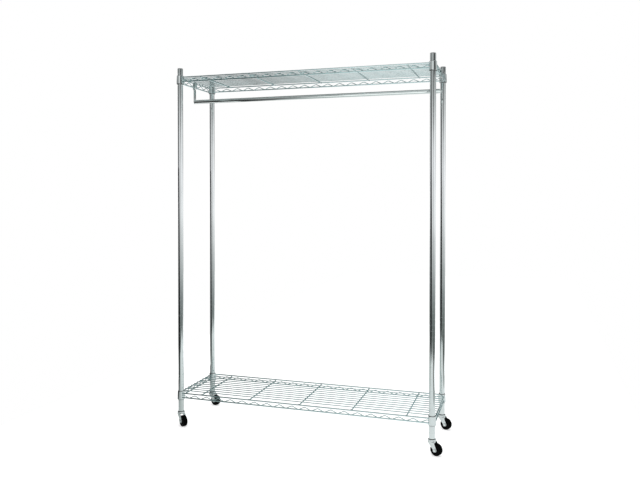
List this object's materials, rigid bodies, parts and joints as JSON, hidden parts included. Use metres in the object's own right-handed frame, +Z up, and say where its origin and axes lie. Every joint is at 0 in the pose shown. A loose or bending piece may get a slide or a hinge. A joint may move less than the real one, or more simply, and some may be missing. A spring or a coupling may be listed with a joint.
{
  "type": "rolling clothes rack",
  "caption": "Tall garment rack on swivel casters: grooved round posts, an upper and a lower wire shelf, and a round hanging rod slung under the upper shelf.",
  "frame": {"origin": "on the floor, under the middle of the four posts", "axes": "+X along the rack to its right end, +Y from front to back, +Z up"},
  "size_m": [1.259, 0.3815, 1.6976],
  "materials": {
    "post_chrome": "bright chrome plate on steel tube",
    "wire_chrome": "chrome plate on steel wire and collars",
    "rod_chrome": "bright chrome plate",
    "caster_zinc": "bright plate on pressed steel",
    "plain_steel": "plain turned steel",
    "cap_plastic": "grey moulded plastic",
    "black_plastic": "black moulded plastic",
    "wheel_plastic": "black moulded plastic",
    "tyre_rubber": "black rubber tread"
  },
  "bodies": {
    "rack": {"front_left_lower_post": "post_chrome", "front_left_upper_post": "post_chrome", "front_left_post_cap": "cap_plastic", "front_right_lower_post": "post_chrome", "front_right_upper_post": "post_chrome", "front_right_post_cap": "cap_plastic", "back_right_lower_post": "post_chrome", "back_right_upper_post": "post_chrome", "back_right_post_cap": "cap_plastic", "back_left_lower_post": "post_chrome", "back_left_upper_post": "post_chrome", "back_left_post_cap": "cap_plastic", "post_joint_inserts": "plain_steel", "post_joint_studs": "plain_steel", "bottom_shelf_collars": "wire_chrome", "bottom_shelf_left_sleeves": "black_plastic", "bottom_shelf_right_sleeves": "black_plastic", "bottom_shelf_long_edge_wires": "wire_chrome", "bottom_shelf_end_wires": "wire_chrome", "bottom_shelf_long_snake_wires": "wire_chrome", "bottom_shelf_end_snake_wires": "wire_chrome", "bottom_shelf_deck_wires": "wire_chrome", "bottom_shelf_cross_braces": "wire_chrome", "top_shelf_collars": "wire_chrome", "top_shelf_left_sleeves": "black_plastic", "top_shelf_right_sleeves": "black_plastic", "top_shelf_long_edge_wires": "wire_chrome", "top_shelf_end_wires": "wire_chrome", "top_shelf_long_snake_wires": "wire_chrome", "top_shelf_end_snake_wires": "wire_chrome", "top_shelf_deck_wires": "wire_chrome", "top_shelf_cross_braces": "wire_chrome", "hang_rod": "rod_chrome", "rod_end_plugs": "plain_steel", "hanger_brackets": "rod_chrome", "hanger_screws": "rod_chrome", "caster_sockets": "black_plastic", "caster_stems": "caster_zinc", "caster_top_races": "caster_zinc", "swivel_bearing_balls": "plain_steel"},
    "front_left_fork": {"front_left_caster_fork": "caster_zinc", "front_left_caster_axle_bolt": "caster_zinc", "front_left_caster_spacer_bush": "plain_steel"},
    "front_left_wheel": {"front_left_wheel_core": "wheel_plastic", "front_left_tyre": "tyre_rubber"},
    "front_right_fork": {"front_right_caster_fork": "caster_zinc", "front_right_caster_axle_bolt": "caster_zinc", "front_right_caster_spacer_bush": "plain_steel"},
    "front_right_wheel": {"front_right_wheel_core": "wheel_plastic", "front_right_tyre": "tyre_rubber"},
    "back_right_fork": {"back_right_caster_fork": "caster_zinc", "back_right_caster_axle_bolt": "caster_zinc", "back_right_caster_spacer_bush": "plain_steel"},
    "back_right_wheel": {"back_right_wheel_core": "wheel_plastic", "back_right_tyre": "tyre_rubber"},
    "back_left_fork": {"back_left_caster_fork": "caster_zinc", "back_left_caster_axle_bolt": "caster_zinc", "back_left_caster_spacer_bush": "plain_steel"},
    "back_left_wheel": {"back_left_wheel_core": "wheel_plastic", "back_left_tyre": "tyre_rubber"}
  },
  "joints": [
    {"name": "front_left_swivel", "type": "hinge", "parent": "rack", "child": "front_left_fork", "pos_m": [-0.5969, -0.1651, 0.0595], "axis": [0, 0, 1], "continuous": true},
    {"name": "front_left_wheel_spin", "type": "hinge", "parent": "front_left_fork", "child": "front_left_wheel", "pos_m": [-0.57866, -0.1774, 0.0254], "axis": [0.5592, 0.829, 0], "continuous": true},
    {"name": "front_right_swivel", "type": "hinge", "parent": "rack", "child": "front_right_fork", "pos_m": [0.5969, -0.1651, 0.0595], "axis": [0, 0, 1], "continuous": true},
    {"name": "front_right_wheel_spin", "type": "hinge", "parent": "front_right_fork", "child": "front_right_wheel", "pos_m": [0.617, -0.17405, 0.0254], "axis": [0.4067, 0.9135, 0], "continuous": true},
    {"name": "back_right_swivel", "type": "hinge", "parent": "rack", "child": "back_right_fork", "pos_m": [0.5969, 0.1651, 0.0595], "axis": [0, 0, 1], "continuous": true},
    {"name": "back_right_wheel_spin", "type": "hinge", "parent": "back_right_fork", "child": "back_right_wheel", "pos_m": [0.6173, 0.15686, 0.0254], "axis": [0.3746, 0.9272, 0], "continuous": true},
    {"name": "back_left_swivel", "type": "hinge", "parent": "rack", "child": "back_left_fork", "pos_m": [-0.5969, 0.1651, 0.0595], "axis": [0, 0, 1], "continuous": true},
    {"name": "back_left_wheel_spin", "type": "hinge", "parent": "back_left_fork", "child": "back_left_wheel", "pos_m": [-0.57575, 0.15904, 0.0254], "axis": [0.2756, 0.9613, 0], "continuous": true}
  ]
}
